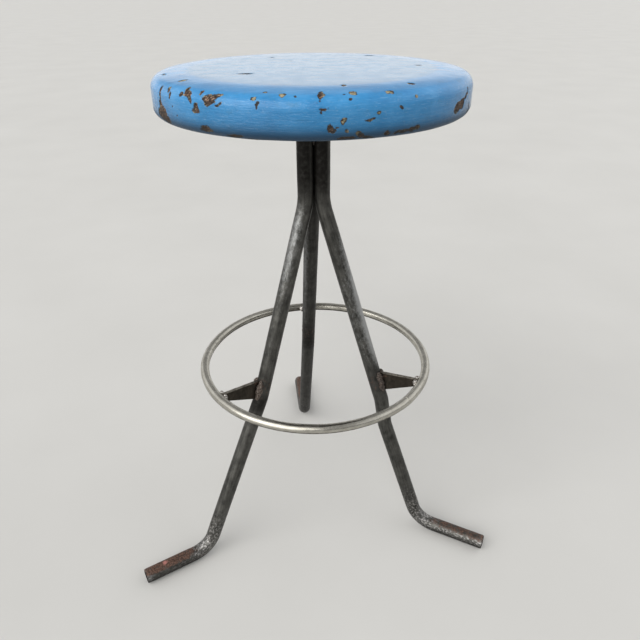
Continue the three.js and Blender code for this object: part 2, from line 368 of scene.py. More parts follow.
class Look(Nodes):
    """One procedural material."""

    def __init__(self, name, specular=0.5):
        self.material = bpy.data.materials.new(name)
        self.material.use_nodes = True
        super().__init__(self.material.node_tree)
        self.shader = self.tree.nodes["Principled BSDF"]
        self.shader.inputs["Specular IOR Level"].default_value = specular

    def finish(self, colour, roughness, metallic, height, depth):
        """depth is how many mm a height of 1 stands for."""
        bump = self.add("Bump", {"Height": height, "Distance": depth * MM})
        self.plug(bump.outputs[0], self.shader.inputs["Normal"])
        self.plug(colour, self.shader.inputs["Base Color"])
        self.plug(roughness, self.shader.inputs["Roughness"])
        self.plug(metallic, self.shader.inputs["Metallic"])
        return self.material


RUST_DARK = (0.050, 0.032, 0.025)
RUST_RED = (0.165, 0.095, 0.070)


def seat_paint():
    """Blue gloss paint over old cream paint and brown wood."""
    look = Look("seat_paint", specular=0.38)
    top, low = look.field("top"), look.field("low")
    brush = look.blend(top, look.noise((26, 26, 1.5), 4, 0.6), look.noise((40, 3.0, 40), 3))
    shade = look.weighed((brush, 0.40), (look.noise(30, 4, 0.6), 0.60))
    blue = look.ramp(shade, (0.34, (0.030, 0.215, 0.490)), (0.50, (0.044, 0.272, 0.585)),
                     (0.66, (0.078, 0.335, 0.675)))
    # Painted highlights: pale specks of lighter blue here, and below them lighter streaks on the side
    # only.
    pale = look.step(look.noise((5, 5, 3), 4, 0.65), 0.60, 0.72, 0.0, 0.30)
    blue = look.mix(pale, blue, (0.25, 0.46, 0.66))
    stain = look.step(look.noise((14, 14, 7), 4, 0.65), 0.56, 0.70, 0.0, 0.30)
    blue = look.mix(stain, blue, (0.055, 0.20, 0.34))
    glint = look.step(look.noise((9, 9, 0.9), 4, 0.65), 0.56, 0.68, 0.0, 0.35)
    blue = look.mix(look.blend(top, glint, 0.0), blue, (0.24, 0.50, 0.80))
    # Painted sheen: the middle of the top is mixed to a paler, greyer blue.
    blue = look.mix(look.times(look.field("painted_top_sheen"), 0.55), blue, (0.155, 0.290, 0.425))
    # Painted shade: the rim's blue darkens down towards the underside.
    blue = look.mix(look.times(low, 0.97), blue, (0.002, 0.026, 0.060))

    fine = look.times(look.math("SUBTRACT", look.noise(1.5, 3, 0.6), 0.5), 2.2)
    chip = look.plus(look.field("chip"), fine)
    chipped = look.step(chip, 0.10, -0.10)
    wood_edge = look.plus(look.field("wood"), look.times(fine, 1.2))
    rim = look.step(look.noise(4.0, 2), 0.46, 0.66)
    bare = look.step(look.plus(wood_edge, rim), 0.15, -0.15)

    cream = look.mix(look.step(look.noise(2.4, 3, 0.6), 0.42, 0.60),
                     (0.40, 0.35, 0.23), (0.22, 0.20, 0.11))
    grain = look.noise((6.0, 1.5, 1.5), 4, 0.70)
    wood = look.ramp(grain, (0.36, (0.010, 0.006, 0.005)), (0.47, (0.070, 0.038, 0.024)),
                     (0.56, (0.200, 0.120, 0.080)), (0.66, (0.56, 0.43, 0.32)))
    wood = look.mix(look.step(look.noise(2.6, 3, 0.6), 0.46, 0.60, 0.0, 0.85), wood,
                    (0.014, 0.009, 0.007))
    board = look.ramp(look.noise((60, 2.4, 4), 5, 0.6, 0.8), (0.30, (0.07, 0.038, 0.020)),
                      (0.55, (0.17, 0.095, 0.050)), (0.75, (0.27, 0.165, 0.09)))
    wood = look.mix(look.field("under"), wood, board)
    # Painted shade: the chips on the lower rim darken the same way.
    layer = look.mix(look.times(low, 0.80), look.mix(bare, cream, wood), (0.010, 0.008, 0.006))
    colour = look.mix(chipped, blue, layer)
    # Painted shadow: a dark line along the edges of the chips.
    chip_edge_shadow = look.times(look.step(look.math("ABSOLUTE", look.plus(chip, 0.4)), 0.95, 0.35),
                           look.step(look.noise(3.6, 2), 0.40, 0.56, 0.10, 0.95))
    colour = look.mix(chip_edge_shadow, colour, (0.020, 0.022, 0.024))

    gloss = look.step(look.noise(16, 3), 0.3, 0.7, 0.12, 0.19)
    gloss = look.blend(look.step(low, 0.6, 1.0), gloss, 0.50)
    roughness = look.blend(chipped, gloss, 0.78)
    ripple = look.weighed((brush, 1.3), (look.noise((3.4, 3.4, 2.0), 3), 1.2))
    ripple = look.times(ripple, look.blend(top, 1.0, 0.13))
    relief = look.blend(chipped, ripple, look.times(grain, 2.0))
    return look.finish(colour, roughness, 0.0, relief, 0.32)


def steel(name, dark, light, bright, roughness, streak_length=22.0):
    """Bare steel that carries scale, worn bright patches that also paint highlights, heat tint,
    soot with painted shade, and rust, each where the piece's field of that name says."""
    look = Look(name, specular=0.20)
    streak = look.noise((2.6, 2.6, streak_length), 4, 0.6)
    mottle = look.noise((3.6, 3.6, 5.5), 4, 0.65)
    speck = look.noise(1.5, 3, 0.6)
    tone = look.weighed((streak, 0.45), (look.noise(12, 4, 0.6), 0.55))
    colour = look.ramp(tone, (0.36, dark), (0.64, light))

    # Worn bright metal; on the legs and the brackets' top edges it is also a painted highlight.
    worn = look.weighed((mottle, 0.60), (speck, 0.25), (look.field("bright"), 0.42))
    colour = look.mix(look.step(worn, 0.52, 0.98), colour, bright)
    # Silver flecks of worn metal, and along the feet's ridges a painted highlight too.
    flecks = look.times(look.step(look.noise((2.4, 2.4, 3.4), 4, 0.7), 0.48, 0.64, 0.0, 0.75),
                        look.field("flecks"))
    colour = look.mix(flecks, colour, (0.52, 0.50, 0.49))
    tint = look.times(look.field("heat"), look.step(look.noise(7, 2), 0.25, 0.6, 0.6, 1.0))
    colour = look.mix(tint, colour, (0.050, 0.100, 0.220))
    # Soot by the welds, and painted shade on the tubes under the seat and on the undersides of the
    # feet.
    soot = look.times(look.field("soot"), look.step(look.noise(5, 3), 0.25, 0.60, 0.75, 1.0))
    colour = look.mix(soot, colour, (0.007, 0.006, 0.005))

    scab = look.weighed((look.noise(4.5, 4, 0.65), 0.8), (look.field("rust"), 0.42))
    rusty = look.math("SUBTRACT", look.step(scab, 0.56, 0.80), flecks, clamp=True)
    rust = look.mix(look.step(look.noise(2.0, 3), 0.35, 0.65), RUST_DARK, RUST_RED)
    colour = look.mix(rusty, colour, rust)
    colour = look.mix(look.field("mark"), colour, (0.46, 0.20, 0.17))

    dull = look.math("MAXIMUM", rusty, look.times(soot, 0.75))
    metallic = look.blend(dull, 0.95, 0.30)
    spread = look.step(look.noise((3, 3, 12), 3), 0.3, 0.7, roughness - 0.05, roughness + 0.08)
    pits = look.weighed((speck, 0.5), (look.noise(0.8, 2), 0.3), (streak, 0.4))
    return look.finish(colour, look.blend(dull, spread, 0.62), metallic, pits, 0.10)


def ring_steel():
    """Bright drawn bar with fine scratches, mottled where hands and shoes don't polish it, and with
    painted shade along its underside.
    """
    look = Look("ring_steel")
    streak = look.noise((0.7, 0.7, 60), 4, 0.6)
    tone = look.weighed((streak, 0.5), (look.noise(9, 4, 0.6), 0.5))
    colour = look.ramp(tone, (0.36, (0.33, 0.315, 0.275)), (0.64, (0.50, 0.485, 0.435)))
    # Grime at the back and joints, and painted shade along the underside of the bar, darken it.
    grime_and_shade = look.weighed((look.noise((4, 4, 6), 4, 0.65), 0.70), (look.field("grime_and_shade"), 0.40))
    grime_and_shade = look.step(grime_and_shade, 0.52, 0.82)
    colour = look.mix(look.times(grime_and_shade, 0.94), colour, (0.060, 0.052, 0.043))
    scratch = look.times(look.step(look.noise((30, 30, 0.55), 3, 0.6), 0.60, 0.70),
                         look.field("scratch"))
    colour = look.mix(look.times(scratch, 0.45), colour, (0.22, 0.21, 0.20))
    tint = look.times(look.field("heat"), look.step(look.noise(4, 2), 0.3, 0.6))
    colour = look.mix(tint, colour, (0.16, 0.115, 0.075))
    roughness = look.step(look.noise((1.2, 1.2, 16), 3), 0.3, 0.7, 0.20, 0.34)
    relief = look.weighed((streak, 0.6), (scratch, 0.7), (grime_and_shade, 0.5))
    return look.finish(colour, look.blend(grime_and_shade, roughness, 0.55), look.blend(grime_and_shade, 1.0, 0.65),
                       relief, 0.05)


def weld_metal(name, clean=0.0, soot=0.0):
    """Rippled bead: clean is how bright its crests are, and the soot number how black it is, from soot
    and painted shade, both from 0 to 1.
    """
    look = Look(name)
    speck = look.noise(1.2, 3, 0.6)
    colour = look.mix(look.step(look.noise(2.4, 3), 0.35, 0.65),
                      (0.055, 0.044, 0.036), (0.145, 0.115, 0.098))
    shine = look.step(look.weighed((look.field("crest"), 0.5), (speck, 0.6)),
                      0.72 - 0.3 * clean, 0.95 - 0.25 * clean)
    silver = (0.34 + 0.3 * clean, 0.30 + 0.32 * clean, 0.27 + 0.32 * clean)
    colour = look.mix(shine, colour, silver)
    rusty = look.step(look.noise(3.0, 4, 0.6), 0.54 + 0.12 * clean, 0.72 + 0.12 * clean)
    colour = look.mix(rusty, colour, look.mix(speck, RUST_DARK, RUST_RED))
    colour = look.mix(soot, colour, (0.010, 0.008, 0.007))
    roughness = look.blend(rusty, look.blend(shine, 0.58, 0.32), 0.80)
    metallic = look.blend(rusty, look.blend(shine, 0.55, 0.95), 0.1)
    relief = look.weighed((speck, 0.6), (look.noise(0.6, 2), 0.4))
    return look.finish(colour, roughness, metallic, relief, 0.12)


def screw_steel():
    """Dull zinc with tarnish in its recess."""
    look = Look("screw_steel")
    cloud = look.noise(2.5, 4, 0.6)
    colour = look.ramp(cloud, (0.35, (0.30, 0.29, 0.26)), (0.65, (0.52, 0.51, 0.47)))
    dirt = look.step(look.plus(look.field("deep"), look.times(cloud, 0.4)), 0.35, 0.8)
    colour = look.mix(dirt, colour, (0.055, 0.04, 0.03))
    return look.finish(colour, look.blend(dirt, 0.38, 0.75), look.blend(dirt, 0.95, 0.3),
                       look.noise(0.7, 3), 0.06)


def floor_look():
    """Pale, slightly uneven studio floor."""
    look = Look("floor")
    cloud = look.add("TexNoise", {"Vector": look.add("TexCoord").outputs["Object"],
                                  "Scale": 3.0, "Detail": 4.0}).outputs[0]
    colour = look.ramp(cloud, (0.3, (0.60, 0.595, 0.575)), (0.7, (0.63, 0.625, 0.605)))
    return look.finish(colour, 0.62, 0.0, cloud, 0.2)


LOOKS = {
    "seat": seat_paint(),
    "leg": steel("leg_steel", (0.038, 0.038, 0.035), (0.115, 0.113, 0.104),
                 (0.36, 0.365, 0.365), 0.42),
    "gusset": steel("gusset_steel", (0.022, 0.019, 0.015), (0.055, 0.047, 0.038),
                    (0.38, 0.35, 0.30), 0.46, streak_length=6.0),
    "ring": ring_steel(),
    "weld": weld_metal("weld_brown"),
    "dark_weld": weld_metal("weld_dark", soot=0.42),
    "clean_weld": weld_metal("weld_clean", clean=1.0),
    # The welds under the seat, near black from soot and painted shade.
    "sooty_weld": weld_metal("weld_sooty", soot=0.8),
    "screw": screw_steel(),
}

# ---- Seat ---------------------------------------------------------------
# The top is flat in its middle, falls gently outwards to a shoulder, and rounds over there.
# A place on the seat is an azimuth in degrees and a distance in mm outwards from the
# shoulder and down the rim: RIM_LENGTH is where the underside is flat.

SHOULDER = SEAT_RADIUS - SEAT_TOP_EDGE * (1 - math.sin(SEAT_SHOULDER_SLOPE))
CROWN = math.tan(SEAT_SHOULDER_SLOPE) * (SHOULDER - SEAT_FLAT_RADIUS) / SEAT_CROWN_POWER
TOP_EDGE_MIDDLE = SEAT_TOP - CROWN - SEAT_TOP_EDGE * math.cos(SEAT_SHOULDER_SLOPE)
TOP_ARC = SEAT_TOP_EDGE * (math.pi / 2 - SEAT_SHOULDER_SLOPE)
BOTTOM_ARC = SEAT_BOTTOM_EDGE * math.pi / 2
SIDE_LENGTH = TOP_EDGE_MIDDLE - SEAT_UNDERSIDE - SEAT_BOTTOM_EDGE
RIM_LENGTH = TOP_ARC + SIDE_LENGTH + BOTTOM_ARC

FAR_FROM_CHIPS = 20.0
UNSEEN_WOOD_CHIPS, UNSEEN_CREAM_CHIPS = 46, 14

# Chips through to the wood: azimuth, distance, half width, half height, tilt in degrees.
WOOD_CHIPS = [
    (205.4, 12.5, 1.9, 4.8, 0), (205.2, 19.5, 2.6, 5.4, 0), (204.9, 26.2, 4.2, 5.0, 10),
    (207.0, 32.5, 8.0, 6.0, -10), (204.6, 35.0, 9.0, 6.0, 0), (209.0, 38.6, 7.5, 4.4, -10),
    (211.3, 9.6, 2.4, 3.8, 20), (212.9, 14.2, 2.2, 3.4, 12), (221.9, 9.6, 5.0, 4.2, 8),
    (220.8, 4.6, 2.6, 3.2, 0),
    (223.7, 14.4, 2.4, 3.8, 30), (219.0, 11.0, 2.8, 2.0, 0), (226.2, 19.6, 2.4, 3.8, 0),
    (226.1, 22.6, 5.2, 2.7, 0), (227.8, 6.8, 1.4, 2.8, -10), (231.4, 12.2, 6.8, 4.6, 0),
    (233.4, 9.6, 4.6, 2.8, 15), (231.0, 16.4, 3.6, 2.8, 0), (235.2, 15.6, 3.2, 1.0, 20),
    (234.8, 6.4, 1.8, 1.6, 0), (229.8, 39.2, 8.5, 3.0, 0), (229.0, 36.8, 4.4, 1.6, 0),
    (239.8, 43.6, 8.0, 2.4, 0), (245.0, 47.0, 6.0, 1.6, 0), (214.4, 24.0, 1.5, 0.9, 0),
    (216.4, 31.6, 1.4, 1.1, 0), (188.2, -5.3, 5.0, 1.6, 10), (247.8, 14.1, 1.6, 2.5, 0),
    (266.2, 2.6, 2.3, 8.4, -8), (276.5, -1.4, 2.6, 2.2, 0), (275.0, 7.8, 1.5, 1.5, 0),
    (273.1, 2.1, 0.9, 0.9, 0), (275.8, -26.9, 2.8, 4.2, 0), (289.0, 1.4, 1.6, 1.5, 0),
    (286.7, 1.6, 1.3, 1.0, 0), (301.3, -12.6, 3.6, 3.4, 10), (290.6, 18.6, 1.3, 1.3, 0),
    (269.1, 33.6, 2.5, 3.6, 10), (270.0, 35.6, 1.8, 1.5, 0), (271.2, 32.6, 2.8, 0.8, 8),
    (272.4, 26.2, 1.5, 1.7, 0), (277.9, 41.0, 3.4, 2.4, 0), (266.8, 17.3, 2.2, 0.7, 0),
    (266.2, 20.0, 1.2, 1.2, 0), (281.1, 26.9, 3.0, 0.8, 10), (274.6, 43.2, 9.0, 2.2, 0),
    (280.4, 43.9, 5.0, 1.4, 0), (286.5, 40.6, 3.6, 2.5, 0), (291.4, 41.4, 6.5, 1.7, 4),
    (294.6, 39.8, 6.5, 2.0, 8), (297.3, 37.8, 3.0, 2.4, 0), (318.0, 29.2, 7.5, 5.2, 18),
    (321.4, 25.8, 7.5, 4.8, 22), (324.6, 21.8, 5.0, 2.2, 25), (326.6, 16.8, 1.1, 3.4, 0),
    (330.4, 33.4, 2.0, 3.8, 10), (329.0, 39.2, 2.6, 3.4, 10), (26.5, -5.0, 5.0, 2.2, 0),
]
# Chips that stop at the old cream paint.
CREAM_CHIPS = [
    (209.1, -10.3, 3.4, 5.0, 0), (249.0, -1.8, 2.4, 2.4, 0), (246.4, 8.2, 2.6, 2.0, 0),
    (254.9, 2.2, 2.8, 3.8, 10), (259.0, 3.7, 1.6, 1.5, 0), (287.7, 2.7, 4.0, 3.4, 0),
    (276.3, -0.5, 4.2, 4.0, 0), (272.7, 27.2, 2.7, 2.8, 0), (283.2, 21.7, 1.5, 1.3, 0),
    (211.0, 7.4, 2.6, 2.6, 0), (220.7, 3.4, 2.9, 2.8, 0), (235.0, 7.4, 3.6, 1.8, 14),
    (273.9, 35.6, 1.7, 1.2, 0), (277.1, 38.4, 2.8, 2.4, 0), (300.5, -13.4, 3.2, 2.8, 0),
    (296.5, 10.9, 1.3, 1.1, 0), (266.9, 1.0, 1.6, 5.0, -8), (292.6, 40.6, 4.0, 1.2, 0),
    (208.0, 36.0, 4.0, 2.4, 0),
]
# Marks on the flat top: x, y, half length along x, half width.
TOP_WOOD_CHIPS = [(-73, -46, 8.0, 3.4), (83, 98, 6.0, 3.0), (-40, 96, 4, 2), (118, -8, 4, 2.5)]
TOP_CREAM_CHIPS = [(-18, 58, 4, 2), (60, -20, 2.5, 1.2), (-74, -44, 4, 1.6)]


def unseen_chips(rng, count):
    """Chips round the back of the rim, in the same style as those in front."""
    chips = []
    for _ in range(count):
        azimuth = rng.uniform(-20, 185)
        low_edge = rng.random() < 0.35
        distance = rng.uniform(41, 47) if low_edge else rng.uniform(-2, 38)
        half_width = rng.uniform(3, 9) if low_edge else rng.exponential(1.6) + 0.9
        half_height = rng.uniform(1.8, 3) if low_edge else half_width * rng.uniform(0.4, 1.2)
        chips.append((azimuth, distance, half_width, half_height, rng.uniform(-30, 30)))
    return chips


def top_profile(radius):
    """Radius, height and normal (radial, upward) of the crowned top."""
    reach = SHOULDER - SEAT_FLAT_RADIUS
    share = max(0.0, (radius - SEAT_FLAT_RADIUS) / reach)
    slope = CROWN * SEAT_CROWN_POWER / reach * share ** (SEAT_CROWN_POWER - 1)
    size = math.hypot(1, slope)
    return radius, SEAT_TOP - CROWN * share ** SEAT_CROWN_POWER, slope / size, 1 / size


def rim_profile(distance):
    """The same at a distance down the rim."""
    if distance <= TOP_ARC:
        angle = math.pi / 2 - SEAT_SHOULDER_SLOPE - distance / SEAT_TOP_EDGE
        centre = (SEAT_RADIUS - SEAT_TOP_EDGE, TOP_EDGE_MIDDLE)
        edge = SEAT_TOP_EDGE
    elif distance <= TOP_ARC + SIDE_LENGTH:
        return SEAT_RADIUS, TOP_EDGE_MIDDLE - (distance - TOP_ARC), 1.0, 0.0
    else:
        angle = -(distance - TOP_ARC - SIDE_LENGTH) / SEAT_BOTTOM_EDGE
        centre = (SEAT_RADIUS - SEAT_BOTTOM_EDGE, SEAT_UNDERSIDE + SEAT_BOTTOM_EDGE)
        edge = SEAT_BOTTOM_EDGE
    cos, sin = math.cos(angle), math.sin(angle)
    return centre[0] + edge * cos, centre[1] + edge * sin, cos, sin


def seat_rings():
    """Each ring of the seat's mesh, from the middle of the top to the middle of the
    underside: radius, height, normal, distance from the shoulder, number of vertices."""
    rim_columns, rim_rows = 1152, 50
    crown_start, crown_step = 124.0, 2.0
    top_step, under_step, widest_cell = 3.4, 6.0, 3.4

    def columns_at(radius):
        columns = 36
        while 2 * math.pi * radius / columns > widest_cell:
            columns *= 2
        return min(columns, rim_columns // 4)

    rings = []
    for radius in np.arange(top_step, crown_start, top_step):
        rings.append((*top_profile(radius), radius - SHOULDER, columns_at(radius)))
    for radius in np.arange(crown_start, SHOULDER - 1, crown_step):
        rings.append((*top_profile(radius), radius - SHOULDER, rim_columns // 2))
    for i in range(rim_rows + 1):
        distance = RIM_LENGTH * i / rim_rows
        rings.append((*rim_profile(distance), distance, rim_columns))
    flat_edge = SEAT_RADIUS - SEAT_BOTTOM_EDGE
    under_radii = [flat_edge - 1.2, *np.arange(flat_edge - 4, under_step, -under_step)]
    under_columns = [rim_columns // 2, *[columns_at(radius) for radius in under_radii[1:]]]
    for radius, columns in zip(under_radii, under_columns):
        rings.append((radius, SEAT_UNDERSIDE, 0.0, -1.0, RIM_LENGTH + flat_edge - radius, columns))
    return rings


def chip_field(azimuth, distance, points, rim_chips, top_chips, warp, edge_noise):
    """Signed distance in mm to the nearest chip's edge, negative inside a chip."""
    nearest = np.full(len(points), FAR_FROM_CHIPS)
    for chip_azimuth, chip_distance, half_width, half_height, tilt in rim_chips:
        across = np.radians(degrees_past(azimuth, chip_azimuth)) * SEAT_RADIUS + warp[0]
        down = distance - chip_distance + warp[1]
        cos, sin = direction(tilt)[:2]
        shape = np.hypot((across * cos - down * sin) / half_width,
                         (across * sin + down * cos) / half_height)
        nearest = np.minimum(nearest, (shape - 1) * min(half_width, half_height))
    for x, y, half_length, half_width in top_chips:
        shape = np.hypot((points[:, 0] - x) / half_length, (points[:, 1] - y) / half_width)
        on_flat = np.where(distance < 0, (shape - 1) * half_width, FAR_FROM_CHIPS)
        nearest = np.minimum(nearest, on_flat)
    return nearest + edge_noise


def seat_mesh():
    """The smooth seat: points, normals, azimuths, distances from the shoulder, and faces."""
    rows, parts = [], []
    count = 0
    for radius, height, radial, up, distance, columns in seat_rings():
        parts.append((raised_circle(radius, columns, height), raised_circle(radial, columns, up),
                      np.degrees(round_angles(columns)), np.full(columns, distance)))
        rows.append(np.arange(count, count + columns))
        count += columns
    parts.append((np.array([[0, 0, SEAT_TOP], [0, 0, SEAT_UNDERSIDE]], float),
                  np.array([[0, 0, 1], [0, 0, -1]], float), np.zeros(2),
                  np.array([-SHOULDER, RIM_LENGTH + SEAT_RADIUS])))
    first, last = rows[0], rows[-1]
    faces = band_faces(rows)
    faces += [(first[i], first[(i + 1) % len(first)], count) for i in range(len(first))]
    faces += [(last[(i + 1) % len(last)], last[i], count + 1) for i in range(len(last))]
    return *[np.concatenate(part) for part in zip(*parts)], faces


def build_seat():
    """The painted board: brush strokes and lumps in its paint, chips with raised lips, and
    bare wood underneath."""
    points, normals, azimuth, distance, faces = seat_mesh()
    rough, fine, broad = Noise(11), Noise(12), Noise(13)
    ragged = 0.85 * rough(points, 3.2) + 0.65 * fine(points, 1.6)
    warp = (1.1 * Noise(14)(points, 4.6), 1.1 * Noise(15)(points, 4.6))
    rng = np.random.default_rng(7)
    wood_chips = WOOD_CHIPS + unseen_chips(rng, UNSEEN_WOOD_CHIPS)
    cream_chips = CREAM_CHIPS + unseen_chips(rng, UNSEEN_CREAM_CHIPS)
    wood = chip_field(azimuth, distance, points, wood_chips, TOP_WOOD_CHIPS, warp, ragged)
    cream = chip_field(azimuth, distance, points, cream_chips, TOP_CREAM_CHIPS, warp, ragged)
    paint_ends = RIM_LENGTH + 6 + 5 * broad(points, 22) + 2.5 * rough(points, 6)
    wood = np.minimum(wood, (paint_ends - distance) * 0.6)
    chip = np.minimum(wood, cream)

    top_share = smooth_step(normals[:, 2], 0.60, 0.95)
    side_stroke = rough(points, (45, 45, 3.4)) + 0.6 * fine(points, (24, 24, 2.1))
    top_stroke = rough(points, (60, 11, 60)) + 0.5 * fine(points, (34, 7, 34))
    lumps = broad(points, (26, 20, 9)) + 0.6 * broad(points, (11, 9, 5))
    relief = (0.07 * side_stroke + 0.09 * lumps) * (1 - top_share) - SKIN
    relief = relief + (0.020 * top_stroke + 0.045 * lumps) * top_share
    lip = 0.10 * np.exp(-((chip - 0.7) / 0.7) ** 2)
    depth = 0.35 * smooth_step(-chip, -0.3, 0.5) + 0.40 * smooth_step(-wood, 0.2, 1.2)
    gouges = np.where(wood < -0.4, 0.28 * rough(points, (7, 1.4, 1.4)), 0)
    offset = relief + np.where(distance < RIM_LENGTH + 4, lip, 0) - depth + gouges
    # Painted shade: low grows down the rim towards the underside, where the paint and chips are
    # darkened.
    low = 0.58 * smooth_step(distance, -4, 44) + 0.42 * smooth_step(distance, 28, 42)
    fields = {
        "chip": chip, "wood": wood, "top": top_share, "low": low,
        "under": smooth_step(distance, RIM_LENGTH - 2, RIM_LENGTH + 2),
        # the middle of the top, from 25 mm inside the shoulder inwards, where the painted sheen goes
        "painted_top_sheen": smooth_step(-distance, 25, 33) * (distance < 0),
    }
    moved = points + normals * offset[:, None]
    make_piece("seat", ["seat_board"], LOOKS["seat"], moved, faces, fields)


build_seat()

# ---- Plate and screws under the seat ------------------------------------


def steel_fields(count, **given):
    """The fields that a steel look reads, zero where they aren't given."""
    return {key: np.zeros(count)
            for key in ("bright", "flecks", "heat", "soot", "rust", "mark")} | given


def cad_copy(node, bevel, cuts, drift, seed):
    """A finer mesh of a flat CAD piece: its corners rounded and its faces slightly uneven."""
    work = bmesh.new()
    work.from_mesh(frame["nodes"][node].data)
    bmesh.ops.remove_doubles(work, verts=work.verts, dist=1e-6)
    bmesh.ops.dissolve_limit(work, angle_limit=math.radians(1), verts=work.verts, edges=work.edges)
    corner = math.radians(40)
    edges = [edge for edge in work.edges if edge.calc_face_angle(0) > corner]
    bmesh.ops.bevel(work, geom=edges, offset=bevel * MM, segments=3, profile=0.6,
                    affect="EDGES", clamp_overlap=True)
    bmesh.ops.triangulate(work, faces=work.faces)
    for _ in range(cuts):
        long_edges = [edge for edge in work.edges if edge.calc_length() > 2.2 * MM]
        if not long_edges:
            break
        bmesh.ops.subdivide_edges(work, edges=long_edges, cuts=1)
        bmesh.ops.triangulate(work, faces=work.faces)
    bmesh.ops.recalc_face_normals(work, faces=work.faces)
    work.normal_update()
    points = np.array([(vertex.co - AXIS) / MM for vertex in work.verts])
    normals = np.array([vertex.normal for vertex in work.verts])
    faces = [tuple(vertex.index for vertex in face.verts) for face in work.faces]
    work.free()
    uneven = drift * (Noise(seed)(points, 6) + 0.5 * Noise(seed + 1)(points, 2.2) - 1)
    return points + normals * uneven[:, None], normals, faces


def build_plate():
    """The round plate between the tubes and the seat, sooty round the welds."""
    points, normals, faces = cad_copy("mount_plate", 0.6, 4, 0.08, 21)
    radius = np.hypot(points[:, 0], points[:, 1])
    hot = 1 - smooth_step(radius, 24, 40)
    fields = steel_fields(len(points), rust=0.35 + 0.25 * Noise(23)(points, 14), soot=hot,
                          bright=0.4 * smooth_step(radius, 58, 62))
    make_piece("mount_plate_piece", ["mount_plate"], LOOKS["leg"], points, faces,
               fields, 30)


def build_screw(number):
    """A pan-head wood screw seen from below, with a cross recess and a threaded shank."""
    node = f"seat_screw_{number}"
    low, high = [(corner - AXIS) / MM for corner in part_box(node)]
    head_radius, head_height, shank_radius, thread_depth, pitch = 5.45, 3.5, 1.9, 0.6, 1.9
    tip_length, arm_length, arm_width = 6, 2.9, 0.62
    sides = 64
    arm, other_arm = direction(35 * number)[:2], direction(35 * number + 90)[:2]
    seat_level = low.z + head_height
    rings, deep = [], []
    for radius in np.linspace(0.15, head_radius, 36):
        flat = circle(radius, sides)
        drop = head_height * math.sqrt(max(0, 1 - (radius / (head_radius + 0.35)) ** 3))
        along, across = np.abs(flat @ arm), np.abs(flat @ other_arm)
        cross = np.minimum(np.maximum(along / arm_length, across / arm_width),
                           np.maximum(across / arm_length, along / arm_width))
        recess = 1 - smooth_step(cross, 0.75, 1.15)
        level = seat_level - drop + 2.0 * recess * (1 - 0.25 * radius / head_radius)
        rings.append(np.column_stack([flat, level]))
        deep.append(recess)
    rings.append(raised_circle(head_radius, sides, seat_level - 0.15))
    rings.append(raised_circle(shank_radius + 0.5, sides, seat_level))
    for height in np.arange(seat_level + 0.4, high.z - 0.4, 0.4):
        taper = min(1.0, (high.z - height) / tip_length)
        turns = (height - seat_level) / pitch - round_angles(sides) / (2 * math.pi)
        thread = 1 - smooth_step(np.abs(turns % 1 - 0.5) * 2, 0.1, 0.55)
        started = smooth_step(height, seat_level + 6, seat_level + 8)
        radii = (shank_radius + thread_depth * started * thread) * taper
        rings.append(raised_circle(np.maximum(radii, 0.12), sides, height))
    points = np.concatenate(rings) + [(low.x + high.x) / 2, (low.y + high.y) / 2, 0]
    rows = np.arange(len(points)).reshape(len(rings), sides)
    faces = band_faces(rows[::-1]) + [tuple(rows[0]), tuple(rows[-1][::-1])]
    depth = np.concatenate(deep)
    fields = {"deep": np.concatenate([depth, np.zeros(len(points) - len(depth))])}
    make_piece(f"screw_{number}", [node], LOOKS["screw"], points, faces, fields, 40)


build_plate()
for screw_number in (1, 2, 3):
    build_screw(screw_number)

# ---- Legs ---------------------------------------------------------------
# A leg is shaped in its own frame, X outwards and Z up, and then turned to its azimuth.


def leg_corners(leg):
    heel = np.array([leg["heel"], 0, TUBE_RADIUS], float)
    return [
        (BUNDLE_RADIUS, 0, LEG_TOP), (BUNDLE_RADIUS, 0, BUNDLE_BEND_HEIGHT),
        *[(radius, 0, height) for radius, height in leg["kinks"]],
        heel, heel + leg["foot"] * direction(leg["turn"]),
    ]


def leg_rings(leg, centres, tangents, heel_at):
    """The tube's outer skin from top to foot, then its bore back to the top."""
    sides = 40
    stations = carried_frames(centres, tangents, np.array([1.0, 0, 0]))
    along = lengths_along(centres)
    total = along[-1]
    dents, ripple, hammer = Noise(31 + leg["azimuth"]), Noise(32 + leg["azimuth"]), Noise(33)
    cos = np.cos(round_angles(sides))

    def skin(i):
        unbent = raised_circle(TUBE_RADIUS, sides, along[i])
        at_heel = bump_at(along[i], heel_at, 16)
        flat = 0.055 * at_heel + 0.03 * bump_at(centres[i, 2], BUNDLE_BEND_HEIGHT, 22)
        radius = TUBE_RADIUS - 0.14 - flat * TUBE_RADIUS * cos ** 2
        radius = radius + 0.07 * dents(unbent, (14, 14, 26)) + 0.035 * ripple(unbent, (5, 5, 7))
        radius = radius + 0.20 * at_heel * math.sin(along[i] / 1.4) * np.clip(cos, 0, 1) ** 2
        blows = np.clip(hammer(unbent, (4.2, 4.2, 5.5)), 0, 1)
        radius = radius - 0.18 * bump_at(along[i], heel_at, 26) * blows
        cut_edge = max(0.0, 0.5 - (total - along[i])) + max(0.0, 0.5 - along[i])
        return circle(radius - cut_edge, sides)

    outer = swept(stations, skin)
    inner = swept(stations, lambda i: circle(TUBE_RADIUS - TUBE_WALL, sides))
    burr = Noise(35)(raised_circle(TUBE_RADIUS, sides, 0), 4)
    outer[-1] -= 0.3 * np.clip(burr, 0, 1)[:, None] * tangents[-1]
    rings = np.concatenate([outer, inner[::-1]])
    rings[:, :, 2] = np.maximum(rings[:, :, 2], 0.02)
    return rings


